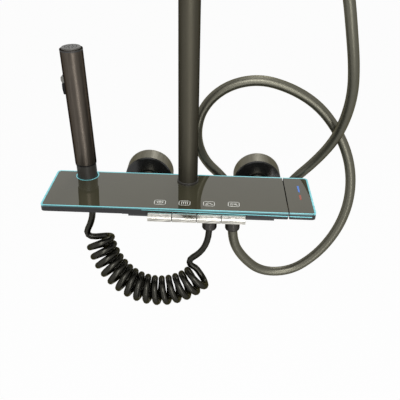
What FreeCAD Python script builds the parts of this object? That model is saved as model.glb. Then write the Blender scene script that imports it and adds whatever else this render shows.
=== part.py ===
import FreeCAD, Part
import math
import os
import re
import Sketcher
from FreeCAD import Placement, Rotation, Vector

# Shower set on two wall inlets: mixer shelf with piano keys and a turning end block, riser,
# spray wand on a curly hose, and hand shower on a smooth hose.
# Frame in millimetres: origin midway between the inlets on the wall plane,
# +X to the right, +Y into the wall, +Z up.

KEY_COUNT = 4

SIZES = [
    # wall inlets
    ("inlet_pitch", 150.0),
    ("thread_r", 10.48),
    ("thread_len", 14.0),
    ("union_r", 13.2),
    ("union_reach", 40.0),
    ("water_r", 7.0),
    ("flange_r", 32.6),
    ("flange_depth", 26.0),
    ("flange_wall", 1.5),
    ("flange_gap", 0.4),
    ("neck_wall", 2.9),
    ("flange_neck", 2.5),
    ("flange_edge", 1.5),
    # inlet nuts and the valve body's tails
    ("nut_wall", 1.7),
    ("nut_gap", 2.5),
    ("nut_free", 2.0),
    ("inlet_nut_lip", 6.0),
    ("tail_r", 9.5),
    ("collar_gap", 0.6),
    ("collar_t", 4.0),
    ("gasket_t", 2.0),
    # valve body
    ("body_gap", 1.0),
    ("body_depth", 42.0),
    ("body_end", 19.0),
    ("body_half_h", 16.0),
    ("gallery_r", 6.0),
    ("gallery_wall", 12.0),
    ("cart_in", 23.0),
    ("cart_wall", 3.0),
    ("cart_len", 36.0),
    ("cart_nut_wall", 2.0),
    ("cart_nut_t", 5.0),
    ("spindle_r", 5.0),
    ("spindle_bite", 14.0),
    # clearances, and how far a cutting shape runs past the face it cuts
    ("fit_gap", 0.05),
    ("pin_gap", 0.05),
    ("slip_gap", 0.3),
    ("panel_gap", 0.15),
    ("over", 1.0),
    # shelf slab
    ("shelf_wing", 116.4),
    ("body_inset", 5.3),
    ("shelf_over", 1.6),
    ("shelf_depth", 90.0),
    ("corner_r", 5.0),
    ("tray_h", 6.4),
    ("tray_wall", 2.0),
    ("deck_t", 1.5),
    ("guide_h", 1.6),
    ("guide_w", 2.0),
    ("glass_t", 2.0),
    ("led_inset", 0.6),
    ("led_w", 1.1),
    ("led_t", 1.4),
    # turning end block
    ("knob_gap", 1.4),
    ("knob_len", 31.7),
    ("hub_drop", 3.0),
    ("hub_inset", 6.2),
    ("hub_cap", 5.0),
    ("web_half", 9.0),
    ("grub_r", 2.0),
    ("grub_in", 1.0),
    # keys and push valves
    ("key_cart_gap", 18.4),
    ("key_pitch", 29.2),
    ("key_gap", 0.8),
    ("key_reach", 10.0),
    ("key_head", 1.0),
    ("key_h", 6.9),
    ("key_bevel", 1.2),
    ("key_back", 15.0),
    ("key_pin_drop", 2.5),
    ("key_pin_r", 1.5),
    ("arm_back", 3.5),
    ("arm_t", 6.0),
    ("arm_low", 5.0),
    ("panel_t", 1.6),
    ("panel_inset", 1.0),
    ("ear_t", 2.6),
    ("ear_half", 4.0),
    ("ear_low", 3.0),
    ("ear_free", 1.5),
    ("stem_r", 3.0),
    ("stem_gap", 0.3),
    ("disc_gap", 1.5),
    ("disc_t", 2.0),
    ("gland_r", 7.0),
    ("gland_in", 10.0),
    ("gland_lip", 2.0),
    ("gland_flange_t", 3.0),
    # screws
    ("screw_r", 2.0),
    ("screw_head_r", 3.6),
    ("screw_head_t", 1.3),
    ("screw_bite", 7.0),
    ("screw_tip", 1.0),
    ("screw_edge", 10.0),
    ("screw_rear", 7.0),
    ("screw_front", 8.0),
    ("screw_cart", 8.0),
    ("panel_screw_front", 15.4),
    ("panel_screw_rear", 7.0),
    ("post_r", 5.5),
    # riser
    ("riser_shift", 0.3),
    ("riser_inset", 17.6),
    ("riser_r", 12.5),
    ("riser_wall", 1.2),
    ("riser_over", 169.0),
    ("riser_seat", 0.5),
    ("spigot_gap", 0.4),
    ("spigot_wall", 1.4),
    ("spigot_depth", 14.0),
    ("spigot_up", 26.0),
    ("ring_wall", 1.1),
    ("ring_h", 3.0),
    ("oring_r", 0.95),
    ("groove_side", 0.5),
    ("groove_first", 3.5),
    ("groove_step", 5.0),
    ("coupling_wall", 2.0),
    ("coupling_h", 22.0),
    ("coupling_cap", 4.0),
    ("coupling_thread", 12.0),
    # outlets under the body
    ("outlet_shift", 1.0),
    ("coil_shift", 0.8),
    ("hose_shift", 2.3),
    ("nipple_spigot_r", 6.5),
    ("nipple_spigot", 9.0),
    ("nipple_lip", 1.1),
    ("nipple_flange_t", 4.0),
    ("nipple_thread_r", 8.3),
    ("nipple_thread", 11.0),
    ("nipple_bore_r", 3.5),
    ("washer_t", 2.0),
    ("hose_nut_wall", 1.5),
    ("hose_nut_gap", 1.5),
    ("hose_nut_len", 22.0),
    ("hose_nut_edge", 2.0),
    ("bath_r", 12.0),
    ("bath_len", 12.0),
    ("aerator_r", 9.0),
    ("aerator_t", 5.0),
    # spray wand in its socket
    ("socket_edge", 41.4),
    ("socket_inset", 11.1),
    ("socket_gap", 1.0),
    ("socket_wall", 1.1),
    ("socket_floor", 2.0),
    ("socket_hole_r", 7.5),
    ("lug_wall", 1.6),
    ("wand_lean", 2.1),
    ("wand_r", 13.55),
    ("wand_wall", 2.0),
    ("wand_low", 20.0),
    ("wand_len", 146.5),
    ("ferrule_step", 0.85),
    ("ferrule_in", 18.0),
    ("ferrule_up", 8.0),
    ("ferrule_bore_r", 2.5),
    ("core_r", 6.5),
    ("core_gap", 10.5),
    ("face_t", 4.0),
    ("face_rise", 2.0),
    ("face_gap", 0.5),
    ("trigger_top", 32.5),
    ("trigger_len", 22.0),
    ("trigger_half", 5.5),
    ("trigger_out", 2.6),
    ("trigger_back", 1.95),
    ("trigger_pin_in", 2.95),
    ("trigger_pin_drop", 2.0),
    ("trigger_pin_r", 0.8),
    ("trigger_pin_seat", 1.1),
    ("trigger_slot_gap", 0.6),
    # hoses
    ("coil_tube_r", 4.4),
    ("coil_r", 16.0),
    ("coil_tilt", 25.0),
    ("hose_r", 6.5),
    # hand shower and holder
    ("holder_reach", 45.0),
    ("hose_top", 621.0),
    ("cone_len", 34.0),
    ("cone_low_r", 8.2),
    ("cone_top_r", 11.2),
    ("cup_low", 6.0),
    ("cup_len", 22.0),
    ("cup_wall", 3.2),
    ("slot_gap", 1.0),
    ("clamp_wall", 5.0),
    ("clamp_extra", 4.0),
    ("arm_half", 5.0),
    ("handset_r", 12.5),
    ("handset_len", 150.0),
    ("handset_neck", 8.0),
    ("handset_dome", 5.0),
    ("handset_dome_r", 8.0),
    ("flat_cut", 3.5),
    ("flat_end", 3.0),
    ("handset_face_h", 70.0),
    ("handset_face_top", 12.0),
    ("handset_face_half", 6.5),
    ("handset_face_t", 2.5),
    ("handset_face_out", 0.8),
    ("clamp_screw_r", 2.5),
    ("clamp_screw_sink", 0.6),
]

# Sizes and places that follow from the sheet, each written in the sheet's names or in these
LINKED = {
    "inlet_nut_r": "union_r + nut_wall",
    "inlet_nut_rear": "flange_depth + flange_neck + nut_gap",
    "inlet_nut_end": "union_reach + gasket_t + collar_t + nut_free + inlet_nut_lip",
    "inlet_nut_len": "inlet_nut_end - inlet_nut_rear",
    "flange_neck_r": "union_r + flange_gap + neck_wall",
    "collar_r": "union_r - collar_gap",
    "body_rear": "inlet_nut_end + body_gap",
    "body_front": "body_rear + body_depth",
    "body_half_len": "inlet_pitch / 2 + body_end",
    "cart_y": "body_rear + cart_in",
    "cart_r": "body_half_h - cart_wall",
    "shelf_left": "inlet_pitch / 2 + shelf_wing",
    "shelf_right": "body_half_len + cart_nut_t + body_inset",
    "shelf_rear": "body_rear - shelf_over",
    "shelf_reach": "shelf_rear + shelf_depth",
    "shelf_top": "body_half_h + tray_h + guide_h",
    "guide_z": "body_half_h + tray_h",
    "glass_z": "shelf_top - glass_t",
    "deck_z": "glass_z - deck_t",
    "knob_x": "shelf_right + knob_gap",
    "hub_r": "body_half_h - hub_drop",
    "hub_len": "knob_len - hub_inset",
    "hub_bite": "hub_len - hub_cap",
    "key_first_x": f"body_half_len - cart_len - key_cart_gap - {KEY_COUNT - 1} * key_pitch",
    "keys_x": "key_first_x - key_pitch / 2",
    "keys_len": f"{KEY_COUNT} * key_pitch",
    "keys_end": "keys_x + keys_len",
    "key_top": "deck_z - key_head",
    "key_pivot_y": "body_front + key_back",
    "key_pivot_z": "body_half_h - key_pin_drop",
    "arm_rear": "arm_back - key_pivot_y",
    "panel_end": "shelf_right - panel_inset",
    "disc_r": "gland_r - disc_gap",
    "gland_flange_r": "gland_r + gland_lip",
    "riser_x": "key_first_x + key_pitch + riser_shift",
    "riser_y": "shelf_rear + riser_inset",
    "riser_top": "hose_top + riser_over",
    "ring_r": "riser_r + ring_wall",
    "spigot_r": "riser_r - riser_wall - spigot_gap",
    "groove_d": "2 * oring_r + 2 * fit_gap",
    "groove_w": "2 * oring_r + groove_side",
    "spigot_bore_r": "spigot_r - groove_d - spigot_wall",
    "outlet_y": "cart_y - outlet_shift",
    "bath_outlet_x": "key_first_x",
    "coil_outlet_x": f"key_first_x + {KEY_COUNT - 2} * key_pitch + coil_shift",
    "hose_outlet_x": f"key_first_x + {KEY_COUNT - 1} * key_pitch + hose_shift",
    "nipple_flange_r": "nipple_thread_r + nipple_lip",
    "nipple_end": "body_half_h + nipple_flange_t + nipple_thread",
    "hose_nut_r": "nipple_thread_r + hose_nut_wall",
    "ferrule_r": "wand_r - ferrule_step",
    "socket_x": "socket_edge - shelf_left",
    "socket_y": "shelf_rear + socket_inset",
    "socket_r": "ferrule_r + socket_gap",
    "light_r": "socket_r + socket_wall",
    "core_len": "wand_len - ferrule_up - face_t - core_gap",
    "trigger_low": "wand_low + wand_len - trigger_len - trigger_top",
    "trigger_in": "wand_r - wand_wall - trigger_back",
    "trigger_pin_x": "wand_r - trigger_pin_in",
    "trigger_pin_half": "trigger_half + trigger_slot_gap + trigger_pin_seat",
    "holder_y": "riser_y + holder_reach",
    "cup_slot": "2 * hose_r + slot_gap",
    "handset_flat": "handset_r - flat_cut",
}

# The hose points are places in space, chosen along the photographed line of each hose.
HOSE_ROUTE = [
    (41.9, -77, -33), (41.9, -77, -60), (57, -74, -91), (86, -69, -120), (128, -65, -120),
    (160, -63, -94), (182, -61, -60), (194, -60, -21), (195, -59, 20), (186, -55, 59),
    (167, -48, 94), (140, -46, 124), (105, -45, 144), (65, -44, 154), (25, -43, 143),
    (-3, -40, 113), (-11, -38, 73), (1, -30, 34), (28, -24, 7), (55, -41, -23),
    (97, -42, -20), (122, -35, 12), (146, -42, 42), (164, -58, 80), (170, -75, 117),
    (170, -90, 155), (163, -103, 192), (153, -111, 231), (143, -115, 270), (129, -117, 307),
    (109, -119, 343), (87, -119, 377), (64, -119, 410), (41, -118, 443), (21, -118, 478),
    (3, -117, 514), (-10, -116, 553), (-18.5, -116, 597), (-18.5, -116, 621),
]
WAND_TAIL = [
    (-149.34, -64.5, 6), (-148.75, -64.5, -10), (-147.7, -64.6, -26.2), (-148.8, -64.9, -40),
    (-152.9, -65.4, -53), (-159, -66.48, -64.64), (-153.68, -66.85, -72.39),
]
VALVE_TAIL = [
    (11.2, -77, -33), (11.2, -77, -49.5), (9, -77.3, -65.5), (3.2, -77.9, -79.3),
    (-5.6, -78.6, -88.8), (-14.94, -80.05, -94.4), (-14.5, -81.9, -103), (-6.12, -82.64, -106.2),
]
COIL_AXIS = [
    (-137.4, -80.5, -63.8), (-131.5, -90.7, -85.6), (-100.5, -105.5, -117.5), (-58.8, -111.2, -129.6),
    (-16.6, -106.9, -120.5), (-0.4, -100.3, -106.2),
]
COIL_TURNS = 15
COIL_START = 270.0
RUN_SHARE = 0.45
STRAIGHT = 1e-6

FUNCTIONS = ("sin", "cos", "tan", "sqrt")
TURNS = {
    "X": Rotation(Vector(0, 1, 0), 90),
    "Y": Rotation(Vector(1, 0, 0), -90),
    "Z": Rotation(),
    "-Y": Rotation(Vector(1, 0, 0), 90),
    "-Z": Rotation(Vector(1, 0, 0), 180),
}

doc = FreeCAD.newDocument("ShowerSet")
sheet = doc.addObject("Spreadsheet::Sheet", "Sizes")
for row, (alias, number) in enumerate(SIZES, start=1):
    sheet.set(f"A{row}", alias)
    sheet.set(f"B{row}", str(number))
    sheet.setAlias(f"B{row}", alias)
doc.recompute()
nodes = []
washers = []
screws = []


def full(formula):
    """The sheet expression of a formula written in plain size names."""
    def name(match):
        word = match.group()
        if word in LINKED:
            return f"({full(LINKED[word])})"
        return word if word in FUNCTIONS else "Sizes." + word
    return re.sub(r"[a-z][a-z0-9_]*", name, str(formula))


def value(formula):
    """The present number of a formula."""
    return float(sheet.evalExpression(full(formula)))


def bind(item, prop, formula):
    item.setExpression(prop, full(formula))


def place(item, at, axis="Z"):
    """Put an object's own origin at a place, with its local Z along an axis."""
    if axis == "wand":
        item.Placement = Placement(Vector(), Rotation(Vector(0, -1, 0), value("wand_lean")))
        bind(item, "Placement.Rotation.Angle", "wand_lean")
    else:
        item.Placement = Placement(Vector(), TURNS[axis])
    for letter, formula in zip("xyz", at):
        bind(item, f"Placement.Base.{letter}", formula)
    return item


def node(label, item):
    """Name a finished sub-part."""
    item.Label = label
    nodes.append(item)
    return item


def box(x, y, z, dx, dy, dz):
    item = doc.addObject("Part::Box", "Block")
    for prop, formula in (("Length", dx), ("Width", dy), ("Height", dz)):
        bind(item, prop, formula)
    return place(item, (x, y, z))


def rod(radius, length, at, axis="Z"):
    item = doc.addObject("Part::Cylinder", "Rod")
    bind(item, "Radius", radius)
    bind(item, "Height", length)
    return place(item, at, axis)


def cut(base, *tools):
    for tool in tools:
        item = doc.addObject("Part::Cut", "Cut")
        item.Base = base
        item.Tool = tool
        item.Refine = False
        base = item
    return base


def fuse(*parts):
    item = doc.addObject("Part::MultiFuse", "Fuse")
    item.Shapes = list(parts)
    item.Refine = True
    return item


def group(*parts):
    item = doc.addObject("Part::Compound", "Group")
    item.Links = list(parts)
    return item


def sketch_outline(body, role, points):
    """A closed outline on one of the body's planes, every corner held by two sheet formulas."""
    sketch = body.newObject("Sketcher::SketchObject", "Outline")
    plane = next(item for item in body.Origin.OriginFeatures if item.Role == role)
    sketch.AttachmentSupport = [(plane, "")]
    sketch.MapMode = "FlatFace"
    corners = [Vector(value(u), value(v), 0) for u, v in points]
    count = len(corners)
    for index in range(count):
        sketch.addGeometry(Part.LineSegment(corners[index], corners[(index + 1) % count]))
    for index in range(count):
        sketch.addConstraint(Sketcher.Constraint("Coincident", index, 2, (index + 1) % count, 1))
    for index, pair in enumerate(points):
        for kind, formula in zip(("DistanceX", "DistanceY"), pair):
            number = sketch.addConstraint(Sketcher.Constraint(kind, index, 1, value(formula)))
            sketch.setExpression(f"Constraints[{number}]", full(formula))
    return sketch


def turned(profile, at, axis="Z"):
    """A body of revolution: profile corners are (radius, height) along the axis."""
    body = doc.addObject("PartDesign::Body", "Turned")
    sketch = sketch_outline(body, "XZ_Plane", profile)
    turn = body.newObject("PartDesign::Revolution", "Turn")
    turn.Profile = sketch
    turn.ReferenceAxis = (sketch, ["V_Axis"])
    turn.Angle = 360
    body.Tip = turn
    return place(body, at, axis)


def padded(role, outline, length, at):
    """A body padded from an outline on one of its planes."""
    body = doc.addObject("PartDesign::Body", "Padded")
    pad = body.newObject("PartDesign::Pad", "Pad")
    pad.Profile = sketch_outline(body, role, outline)
    bind(pad, "Length", length)
    body.Tip = pad
    return place(body, at)


def key_x(index):
    return f"(key_first_x + {index} * key_pitch)"


# The two slabs: left edge, length, and the end that faces the gap between them
SHELF = ("-shelf_left", "(shelf_left + shelf_right)", "right")
END_BLOCK = ("knob_x", "knob_len", "left")


def slab_box(slab, inset, z, height, past="0"):
    """A block of a slab's plan, drawn in from its three lit edges and run past its gap end."""
    x, length, gap_end = slab
    low = f"{x} - {past}" if gap_end == "left" else f"{x} + {inset}"
    high = f"{low} + {length} - {inset} + {past}"
    front = f"{inset} - shelf_reach"
    rear = f"-shelf_rear - {inset}"
    body = padded("XY_Plane", [(low, front), (high, front), (high, rear), (low, rear)], height,
                  ("0", "0", z))
    doc.recompute()
    pad = body.Tip
    lit_end = value(high if gap_end == "left" else low)
    upright = [f"Edge{number}" for number, edge in enumerate(pad.Shape.Edges, start=1)
               if all(abs(vertex.X - lit_end) < STRAIGHT for vertex in edge.Vertexes)
               and abs(edge.tangentAt(edge.FirstParameter).z) > STRAIGHT]
    corners = body.newObject("PartDesign::Fillet", "Corners")
    corners.Base = (pad, upright)
    bind(corners, "Radius", f"corner_r - {inset}")
    body.Tip = corners
    return body


def slab_frame(slab, outer, inner, z, height, past="0"):
    """The three lit edges of a slab, as a strip between two insets."""
    return cut(slab_box(slab, outer, z, height, past),
               slab_box(slab, inner, f"{z} - over", f"{height} + 2 * over", "over"))


def slab_tray(slab, base):
    """The tray of a slab: glass seat above, strip groove along the lit edges, hollow below."""
    groove = slab_frame(slab, "led_inset", "(led_inset + led_w)", "guide_z - led_t - panel_gap",
                        "led_t + panel_gap + over", "(-led_inset)")
    seat = slab_box(slab, "guide_w", "glass_z", "glass_t", "over")
    hollow = slab_box(slab, "tray_wall", "body_half_h - over", "deck_z - body_half_h + over",
                      "(-tray_wall)")
    return cut(base, groove, seat, hollow)


def slab_strip(slab):
    inset = "(led_inset + panel_gap)"
    return slab_frame(slab, inset, "(led_inset + led_w - panel_gap)",
                      "guide_z - led_t - panel_gap", "led_t", f"(-{inset})")


def slab_glass(slab):
    return slab_box(slab, "(guide_w + panel_gap)", "glass_z", "glass_t")


def inlets():
    """Wall unions, flanges, washers and nuts of the two inlets."""
    unions = []
    for name, side in (("hot", "-inlet_pitch / 2"), ("cold", "inlet_pitch / 2")):
        unions.append(turned([
            ("water_r", "-thread_len"), ("thread_r", "-thread_len"), ("thread_r", "0"),
            ("union_r", "0"), ("union_r", "union_reach"), ("water_r", "union_reach"),
        ], (side, "0", "0"), "-Y"))
        washers.append(turned([
            ("water_r", "0"), ("collar_r", "0"), ("collar_r", "gasket_t"), ("water_r", "gasket_t"),
        ], (side, "-union_reach", "0"), "-Y"))
        hole = "union_r + flange_gap"
        inside = "flange_depth - flange_wall"
        node(f"wall_flange_{name}", turned([
            (hole, inside), ("flange_r - flange_wall", inside), ("flange_r - flange_wall", "0"),
            ("flange_r", "0"), ("flange_r", "flange_depth - flange_edge"),
            ("flange_r - flange_edge", "flange_depth"), ("flange_neck_r", "flange_depth"),
            ("flange_neck_r", "flange_depth + flange_neck"), (hole, "flange_depth + flange_neck"),
        ], (side, "0", "0"), "-Y"))
        node(f"inlet_nut_{name}", turned([
            ("union_r + pin_gap", "0"), ("inlet_nut_r", "0"), ("inlet_nut_r", "inlet_nut_len"),
            ("tail_r + slip_gap", "inlet_nut_len"),
            ("tail_r + slip_gap", "inlet_nut_len - inlet_nut_lip"),
            ("union_r + pin_gap", "inlet_nut_len - inlet_nut_lip"),
        ], (side, "-inlet_nut_rear", "0"), "-Y"))
    node("inlet_unions", group(*unions))


SCREW_PLACES = [
    (x, y)
    for x in ("screw_edge - body_half_len", "body_half_len - cart_len - screw_cart")
    for y in ("screw_front - body_front", "-body_rear - screw_rear")
]
PANEL_SCREWS = [
    (x, y)
    for x in ("(keys_x - body_half_len) / 2", "(keys_end + panel_end) / 2")
    for y in ("panel_screw_front - shelf_reach", "-body_front - panel_screw_rear")
]


def valve_body():
    """Brass block with the mixed-water gallery, the inlet tails and every bore."""
    tail_len = "(body_rear - union_reach - gasket_t)"
    parts = [box("-body_half_len", "-body_front", "-body_half_h",
                 "2 * body_half_len", "body_depth", "2 * body_half_h")]
    bores = [
        rod("gallery_r", "2 * body_half_len - cart_len - gallery_wall",
            ("gallery_wall - body_half_len", "-cart_y", "0"), "X"),
        rod("cart_r + fit_gap", "cart_len", ("body_half_len - cart_len", "-cart_y", "0"), "X"),
        rod("spigot_r + fit_gap", "spigot_depth",
            ("riser_x", "-riser_y", "body_half_h - spigot_depth")),
    ]
    for side in ("-inlet_pitch / 2", "inlet_pitch / 2"):
        parts.append(rod("tail_r", tail_len, (side, "-body_rear", "0"), "Y"))
        parts.append(rod("collar_r", "collar_t",
                         (side, f"{tail_len} - body_rear - collar_t", "0"), "Y"))
        bores.append(rod("water_r", f"{tail_len} + cart_y - body_rear",
                         (side, "-cart_y", "0"), "Y"))
    for index in range(KEY_COUNT):
        bores.append(rod("gland_r + fit_gap", "body_front - cart_y",
                         (key_x(index), "-body_front", "0"), "Y"))
    for x in ("bath_outlet_x", "coil_outlet_x", "hose_outlet_x"):
        bores.append(rod("nipple_spigot_r + fit_gap", "body_half_h",
                         (x, "-outlet_y", "-body_half_h")))
    for x, y in SCREW_PLACES:
        bores.append(rod("screw_r", "screw_bite", (x, y, "body_half_h - screw_bite")))
    node("valve_body", cut(fuse(*parts), *bores))


def temperature_block():
    """Mixing cartridge, its spindle and the turning end block of the shelf."""
    axis = ("-cart_y", "0")
    bore = "spindle_r + pin_gap"
    node("mixing_cartridge", turned([
        ("0", "0"), ("cart_r", "0"), ("cart_r", "cart_len"), (bore, "cart_len"),
        (bore, "cart_len - spindle_bite"), ("0", "cart_len - spindle_bite"),
    ], ("body_half_len - cart_len",) + axis, "X"))
    nut_r = "cart_r + cart_nut_wall"
    node("cartridge_nut", turned([
        ("spindle_r + slip_gap", "0"), (nut_r, "0"), (nut_r, "cart_nut_t"),
        ("spindle_r + slip_gap", "cart_nut_t"),
    ], ("body_half_len",) + axis, "X"))
    start = "(body_half_len - spindle_bite + slip_gap)"
    node("knob_spindle", rod("spindle_r", f"knob_x + hub_bite - {start}", (start,) + axis, "X"))
    web = box("knob_x + tray_wall", "-cart_y - web_half", "0",
              "hub_len - tray_wall", "2 * web_half", "body_half_h")
    hub = fuse(rod("hub_r", "hub_len", ("knob_x",) + axis, "X"), web)
    grub_x = "(knob_x + hub_bite / 2)"
    node("knob_hub", cut(hub, rod("spindle_r", "hub_bite", ("knob_x",) + axis, "X"),
                         rod("grub_r", "hub_r", (grub_x, "-cart_y", "-hub_r"))))
    node("knob_screw", rod("grub_r", "hub_r - spindle_r - grub_in",
                           (grub_x, "-cart_y", "grub_in - hub_r")))
    tray = slab_tray(END_BLOCK, slab_box(END_BLOCK, "0", "body_half_h", "tray_h"))
    foot = box("knob_x + tray_wall", "-cart_y - web_half", "body_half_h",
               "hub_len - tray_wall", "2 * web_half", "deck_z - body_half_h")
    node("knob_tray", fuse(tray, foot))
    node("knob_light_guide", slab_frame(END_BLOCK, "0", "guide_w", "guide_z", "guide_h"))
    node("knob_led_strip", slab_strip(END_BLOCK))
    node("knob_glass", slab_glass(END_BLOCK))


def screw(x, y, z, length, axis="Z"):
    """Screw with its head's outer face at z and its shank along the axis."""
    return turned([
        ("0", "0"), ("screw_head_r", "0"), ("screw_head_r", "screw_head_t"),
        ("screw_r", "screw_head_t"), ("screw_r", length), ("0", length),
    ], (x, y, z), axis)


def shelf():
    """Tray, light guide, strip and glass of the shelf, with the riser and socket holes."""
    socket = ("socket_x", "-socket_y")
    lug = rod("light_r + lug_wall", "tray_h", socket + ("body_half_h",))
    block = fuse(slab_box(SHELF, "0", "body_half_h", "tray_h"), lug)
    tray = slab_tray(SHELF, block)
    posts = []
    holes = [
        rod("riser_r + slip_gap", "tray_h + 2 * over",
            ("riser_x", "-riser_y", "body_half_h - over")),
        rod("light_r + fit_gap", "tray_h + 2 * over", socket + ("body_half_h - over",)),
        box("keys_x - slip_gap", "-shelf_reach - over", "body_half_h - over",
            "keys_len + 2 * slip_gap", "tray_wall + 2 * over",
            "key_top + 2 * slip_gap - body_half_h + over"),
    ]
    for x, y in SCREW_PLACES + PANEL_SCREWS:
        posts.append(rod("post_r", "deck_z - body_half_h", (x, y, "body_half_h")))
        holes.append(rod("screw_r", "tray_h", (x, y, "body_half_h - over")))
    for x, y in SCREW_PLACES:
        holes.append(rod("screw_head_r + slip_gap", "glass_t", (x, y, "glass_z - screw_head_t")))
    node("shelf_tray", cut(fuse(tray, *posts), *holes))
    node("light_guide", cut(
        slab_frame(SHELF, "0", "guide_w", "guide_z", "guide_h"),
        rod("light_r + panel_gap", "guide_h + 2 * over", socket + ("guide_z - over",))))
    node("led_strip", cut(
        slab_strip(SHELF),
        rod("light_r + panel_gap", "tray_h", socket + ("guide_z - tray_h / 2",))))
    node("top_glass", cut(
        slab_glass(SHELF),
        rod("light_r + panel_gap", "glass_t + 2 * over", socket + ("glass_z - over",)),
        rod("ring_r + panel_gap", "glass_t + 2 * over", ("riser_x", "-riser_y", "glass_z - over"))))
    for x, y in SCREW_PLACES:
        screws.append(screw(x, y, "glass_z", "glass_z - body_half_h + screw_bite - screw_tip", "-Z"))
    for x, y in PANEL_SCREWS:
        screws.append(screw(x, y, "body_half_h - panel_t - screw_head_t",
                            "deck_z - body_half_h + panel_t + screw_head_t - screw_tip"))


def keys_and_valves():
    """Key panel, hinge pin, four keys and the four push valves that they press."""
    rear = "(ear_half + ear_free - key_pivot_y)"
    plate = box("-body_half_len", "tray_wall - shelf_reach", "body_half_h - panel_t",
                "body_half_len + panel_end",
                "shelf_reach - tray_wall - body_front - slip_gap", "panel_t")
    opening = box("keys_x - slip_gap", "-shelf_reach - over", "body_half_h - panel_t - over",
                  "keys_len + 2 * slip_gap", f"{rear} + shelf_reach + over",
                  "panel_t + 2 * over")
    ears = [box(x, "-key_pivot_y - ear_half", "key_pivot_z - ear_low", "ear_t", "2 * ear_half",
                "body_half_h - key_pivot_z + ear_low")
            for x in ("keys_x - slip_gap - ear_t", "keys_end + slip_gap")]
    pin_at = ("keys_x - slip_gap - ear_t", "-key_pivot_y", "key_pivot_z")
    pin_len = "keys_len + 2 * (slip_gap + ear_t)"
    holes = [rod("screw_r", "panel_t + 2 * over", (x, y, "body_half_h - panel_t - over"))
             for x, y in PANEL_SCREWS]
    node("key_panel", cut(fuse(cut(plate, opening), *ears),
                          rod("key_pin_r", pin_len, pin_at, "X"), *holes))
    node("key_pin", rod("key_pin_r", pin_len, pin_at, "X"))

    front = "(-shelf_reach - key_reach)"
    low = "(key_top - key_h)"
    outline = [
        (front, low), ("arm_rear - arm_t", low), ("arm_rear - arm_t", "-arm_low"),
        ("arm_rear", "-arm_low"), ("arm_rear", "key_top"), (f"{front} + key_bevel", "key_top"),
        (front, "key_top - key_bevel"),
    ]
    tip = "(arm_rear + stem_gap)"
    inner = "(gland_in - body_front)"
    glands = []
    for index in range(KEY_COUNT):
        x = key_x(index)
        key = padded("YZ_Plane", outline, "key_pitch - key_gap",
                     (f"{x} - (key_pitch - key_gap) / 2", "0", "0"))
        bore = rod("key_pin_r + pin_gap", "key_pitch + 2 * over",
                   (f"{x} - key_pitch / 2 - over", "-key_pivot_y", "key_pivot_z"), "X")
        node(f"key_{index + 1}", cut(key, bore))
        neck = f"({inner} + slip_gap - {tip})"
        node(f"valve_stem_{index + 1}", turned([
            ("0", "0"), ("stem_r", "0"), ("stem_r", neck), ("disc_r", neck),
            ("disc_r", f"{neck} + disc_t"), ("0", f"{neck} + disc_t"),
        ], (x, tip, "0"), "Y"))
        deep = "gland_flange_t + gland_in"
        bore_r = "stem_r + pin_gap"
        glands.append(turned([
            (bore_r, "0"), ("gland_flange_r", "0"), ("gland_flange_r", "gland_flange_t"),
            ("gland_r", "gland_flange_t"), ("gland_r", deep), (bore_r, deep),
        ], (x, "-body_front - gland_flange_t", "0"), "Y"))
    node("valve_glands", group(*glands))


def riser():
    """Riser pipe on its spigot, with O-rings, base ring and the coupling at its upper end."""
    at = ("riser_x", "-riser_y")
    foot = "body_half_h - spigot_depth"
    floor = "spigot_r - groove_d"
    profile = [("spigot_bore_r", "0"), ("spigot_r", "0")]
    rings = []
    for index in range(2):
        low = f"(groove_first + {index} * groove_step)"
        profile += [("spigot_r", low), (floor, low), (floor, f"{low} + groove_w"),
                    ("spigot_r", f"{low} + groove_w")]
        ring = doc.addObject("Part::Torus", "Ring")
        bind(ring, "Radius1", f"{floor} + oring_r + fit_gap")
        bind(ring, "Radius2", "oring_r")
        rings.append(place(ring, at + (f"{foot} + {low} + groove_w / 2",)))
    end = "spigot_depth + spigot_up"
    profile += [("spigot_r", end), ("spigot_bore_r", end)]
    node("riser_spigot", turned(profile, at + (foot,)))
    node("riser_orings", group(*rings))
    base = "(body_half_h + riser_seat)"
    inner = "riser_r - riser_wall"
    node("riser_pipe", turned([
        (inner, "0"), ("riser_r", "0"), ("riser_r", f"riser_top - {base}"),
        (inner, f"riser_top - {base}"),
    ], at + (base,)))
    rise = "glass_t + ring_h"
    node("riser_base_ring", turned([
        ("riser_r + fit_gap", "0"), ("ring_r", "0"), ("ring_r", f"{rise} - ring_wall / 2"),
        ("ring_r - ring_wall / 2", rise), ("riser_r + fit_gap", rise),
    ], at + ("glass_z",)))
    outer = "riser_r + coupling_wall"
    cap = "coupling_h + coupling_cap"
    node("riser_coupling", turned([
        ("riser_r + fit_gap", "0"), (outer, "0"), (outer, cap), ("thread_r", cap),
        ("thread_r", f"{cap} + coupling_thread"), ("water_r", f"{cap} + coupling_thread"),
        ("water_r", "coupling_h"), ("riser_r + fit_gap", "coupling_h"),
    ], at + ("riser_top - coupling_h",)))


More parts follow.
